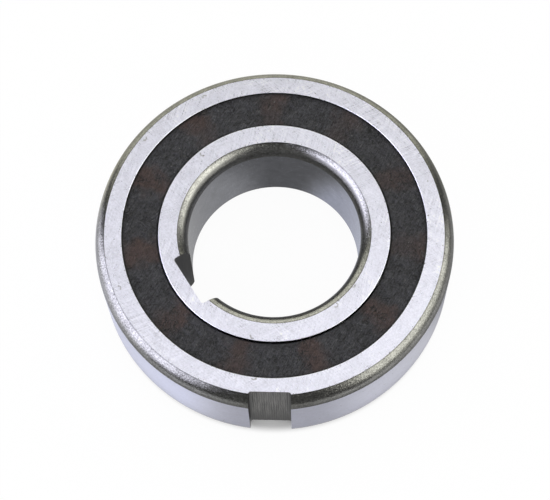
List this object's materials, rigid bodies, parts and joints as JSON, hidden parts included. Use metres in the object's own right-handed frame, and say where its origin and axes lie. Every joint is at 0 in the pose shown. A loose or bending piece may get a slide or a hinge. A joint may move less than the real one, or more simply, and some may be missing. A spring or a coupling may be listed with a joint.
{
  "type": "sprag clutch bearing",
  "caption": "One-way ball bearing: sprags between its balls lock the inner ring in one direction. Keyway in the bore, key slot across the rim, dust shields on both sides.",
  "frame": {"origin": "centre of the bore, halfway between the two ring faces", "axes": "+Z along the bore axis, -Y towards the key slot of the outer ring"},
  "size_m": [0.052, 0.0518, 0.015],
  "materials": {
    "ring_steel": "ground faces and rim, rounded edges left dark from hardening",
    "shield_nylon": "dark moulded nylon, slightly wrinkled",
    "cage_polyamide": "moulded, natural colour",
    "ball_steel": "polished, lightly greased",
    "sprag_steel": "ground and hardened",
    "spring_steel": "drawn wire, closed coil"
  },
  "bodies": {
    "outer": {"outer_ring": "ring_steel", "shield_upper": "shield_nylon", "shield_lower": "shield_nylon"},
    "inner": {"inner_ring": "ring_steel"},
    "cage_set": {"cage": "cage_polyamide", "garter_spring_upper": "spring_steel", "garter_spring_lower": "spring_steel"},
    "ball_01": {"ball_01": "ball_steel"},
    "ball_02": {"ball_02": "ball_steel"},
    "ball_03": {"ball_03": "ball_steel"},
    "ball_04": {"ball_04": "ball_steel"},
    "ball_05": {"ball_05": "ball_steel"},
    "ball_06": {"ball_06": "ball_steel"},
    "ball_07": {"ball_07": "ball_steel"},
    "ball_08": {"ball_08": "ball_steel"},
    "ball_09": {"ball_09": "ball_steel"},
    "ball_10": {"ball_10": "ball_steel"},
    "ball_11": {"ball_11": "ball_steel"},
    "sprag_01": {"sprag_01": "sprag_steel"},
    "sprag_02": {"sprag_02": "sprag_steel"},
    "sprag_03": {"sprag_03": "sprag_steel"},
    "sprag_04": {"sprag_04": "sprag_steel"},
    "sprag_05": {"sprag_05": "sprag_steel"},
    "sprag_06": {"sprag_06": "sprag_steel"},
    "sprag_07": {"sprag_07": "sprag_steel"},
    "sprag_08": {"sprag_08": "sprag_steel"},
    "sprag_09": {"sprag_09": "sprag_steel"},
    "sprag_10": {"sprag_10": "sprag_steel"},
    "sprag_11": {"sprag_11": "sprag_steel"}
  },
  "joints": [
    {"name": "inner_spin", "type": "hinge", "parent": "outer", "child": "inner", "pos_m": [0, 0, 0], "axis": [0, 0, 1], "continuous": true},
    {"name": "cage_orbit", "type": "hinge", "parent": "outer", "child": "cage_set", "pos_m": [0, 0, 0], "axis": [0, 0, 1], "continuous": true},
    {"name": "ball_01_spin", "type": "hinge", "parent": "cage_set", "child": "ball_01", "pos_m": [0.01727, 0.00872, 0], "axis": [0, 0, 1], "continuous": true},
    {"name": "ball_02_spin", "type": "hinge", "parent": "cage_set", "child": "ball_02", "pos_m": [0.00981, 0.01668, 0], "axis": [0, 0, 1], "continuous": true},
    {"name": "ball_03_spin", "type": "hinge", "parent": "cage_set", "child": "ball_03", "pos_m": [-0.00076, 0.01933, 0], "axis": [0, 0, 1], "continuous": true},
    {"name": "ball_04_spin", "type": "hinge", "parent": "cage_set", "child": "ball_04", "pos_m": [-0.01109, 0.01585, 0], "axis": [0, 0, 1], "continuous": true},
    {"name": "ball_05_spin", "type": "hinge", "parent": "cage_set", "child": "ball_05", "pos_m": [-0.0179, 0.00734, 0], "axis": [0, 0, 1], "continuous": true},
    {"name": "ball_06_spin", "type": "hinge", "parent": "cage_set", "child": "ball_06", "pos_m": [-0.01903, -0.00351, 0], "axis": [0, 0, 1], "continuous": true},
    {"name": "ball_07_spin", "type": "hinge", "parent": "cage_set", "child": "ball_07", "pos_m": [-0.01411, -0.01324, 0], "axis": [0, 0, 1], "continuous": true},
    {"name": "ball_08_spin", "type": "hinge", "parent": "cage_set", "child": "ball_08", "pos_m": [-0.00472, -0.01877, 0], "axis": [0, 0, 1], "continuous": true},
    {"name": "ball_09_spin", "type": "hinge", "parent": "cage_set", "child": "ball_09", "pos_m": [0.00618, -0.01834, 0], "axis": [0, 0, 1], "continuous": true},
    {"name": "ball_10_spin", "type": "hinge", "parent": "cage_set", "child": "ball_10", "pos_m": [0.01511, -0.01209, 0], "axis": [0, 0, 1], "continuous": true},
    {"name": "ball_11_spin", "type": "hinge", "parent": "cage_set", "child": "ball_11", "pos_m": [0.01925, -0.002, 0], "axis": [0, 0, 1], "continuous": true},
    {"name": "sprag_01_rock", "type": "hinge", "parent": "cage_set", "child": "sprag_01", "pos_m": [0.01411, 0.01324, 0], "axis": [0, 0, 1], "range_deg": [0, 8], "stiffness_Nm_per_rad": 0.0005},
    {"name": "sprag_02_rock", "type": "hinge", "parent": "cage_set", "child": "sprag_02", "pos_m": [0.00472, 0.01877, 0], "axis": [0, 0, 1], "range_deg": [0, 8], "stiffness_Nm_per_rad": 0.0005},
    {"name": "sprag_03_rock", "type": "hinge", "parent": "cage_set", "child": "sprag_03", "pos_m": [-0.00618, 0.01834, 0], "axis": [0, 0, 1], "range_deg": [0, 8], "stiffness_Nm_per_rad": 0.0005},
    {"name": "sprag_04_rock", "type": "hinge", "parent": "cage_set", "child": "sprag_04", "pos_m": [-0.01511, 0.01209, 0], "axis": [0, 0, 1], "range_deg": [0, 8], "stiffness_Nm_per_rad": 0.0005},
    {"name": "sprag_05_rock", "type": "hinge", "parent": "cage_set", "child": "sprag_05", "pos_m": [-0.01925, 0.002, 0], "axis": [0, 0, 1], "range_deg": [0, 8], "stiffness_Nm_per_rad": 0.0005},
    {"name": "sprag_06_rock", "type": "hinge", "parent": "cage_set", "child": "sprag_06", "pos_m": [-0.01727, -0.00872, 0], "axis": [0, 0, 1], "range_deg": [0, 8], "stiffness_Nm_per_rad": 0.0005},
    {"name": "sprag_07_rock", "type": "hinge", "parent": "cage_set", "child": "sprag_07", "pos_m": [-0.00981, -0.01668, 0], "axis": [0, 0, 1], "range_deg": [0, 8], "stiffness_Nm_per_rad": 0.0005},
    {"name": "sprag_08_rock", "type": "hinge", "parent": "cage_set", "child": "sprag_08", "pos_m": [0.00076, -0.01933, 0], "axis": [0, 0, 1], "range_deg": [0, 8], "stiffness_Nm_per_rad": 0.0005},
    {"name": "sprag_09_rock", "type": "hinge", "parent": "cage_set", "child": "sprag_09", "pos_m": [0.01109, -0.01585, 0], "axis": [0, 0, 1], "range_deg": [0, 8], "stiffness_Nm_per_rad": 0.0005},
    {"name": "sprag_10_rock", "type": "hinge", "parent": "cage_set", "child": "sprag_10", "pos_m": [0.0179, -0.00734, 0], "axis": [0, 0, 1], "range_deg": [0, 8], "stiffness_Nm_per_rad": 0.0005},
    {"name": "sprag_11_rock", "type": "hinge", "parent": "cage_set", "child": "sprag_11", "pos_m": [0.01903, 0.00351, 0], "axis": [0, 0, 1], "range_deg": [0, 8], "stiffness_Nm_per_rad": 0.0005}
  ],
  "couplings": [
    {"joint": "cage_orbit", "follows": "inner_spin", "ratio": 0.41796},
    {"joint": "ball_01_spin", "follows": "inner_spin", "ratio": -2.9651},
    {"joint": "ball_02_spin", "follows": "inner_spin", "ratio": -2.9651},
    {"joint": "ball_03_spin", "follows": "inner_spin", "ratio": -2.9651},
    {"joint": "ball_04_spin", "follows": "inner_spin", "ratio": -2.9651},
    {"joint": "ball_05_spin", "follows": "inner_spin", "ratio": -2.9651},
    {"joint": "ball_06_spin", "follows": "inner_spin", "ratio": -2.9651},
    {"joint": "ball_07_spin", "follows": "inner_spin", "ratio": -2.9651},
    {"joint": "ball_08_spin", "follows": "inner_spin", "ratio": -2.9651},
    {"joint": "ball_09_spin", "follows": "inner_spin", "ratio": -2.9651},
    {"joint": "ball_10_spin", "follows": "inner_spin", "ratio": -2.9651},
    {"joint": "ball_11_spin", "follows": "inner_spin", "ratio": -2.9651},
    {"joint": "sprag_02_rock", "follows": "sprag_01_rock", "ratio": 1},
    {"joint": "sprag_03_rock", "follows": "sprag_01_rock", "ratio": 1},
    {"joint": "sprag_04_rock", "follows": "sprag_01_rock", "ratio": 1},
    {"joint": "sprag_05_rock", "follows": "sprag_01_rock", "ratio": 1},
    {"joint": "sprag_06_rock", "follows": "sprag_01_rock", "ratio": 1},
    {"joint": "sprag_07_rock", "follows": "sprag_01_rock", "ratio": 1},
    {"joint": "sprag_08_rock", "follows": "sprag_01_rock", "ratio": 1},
    {"joint": "sprag_09_rock", "follows": "sprag_01_rock", "ratio": 1},
    {"joint": "sprag_10_rock", "follows": "sprag_01_rock", "ratio": 1},
    {"joint": "sprag_11_rock", "follows": "sprag_01_rock", "ratio": 1}
  ]
}
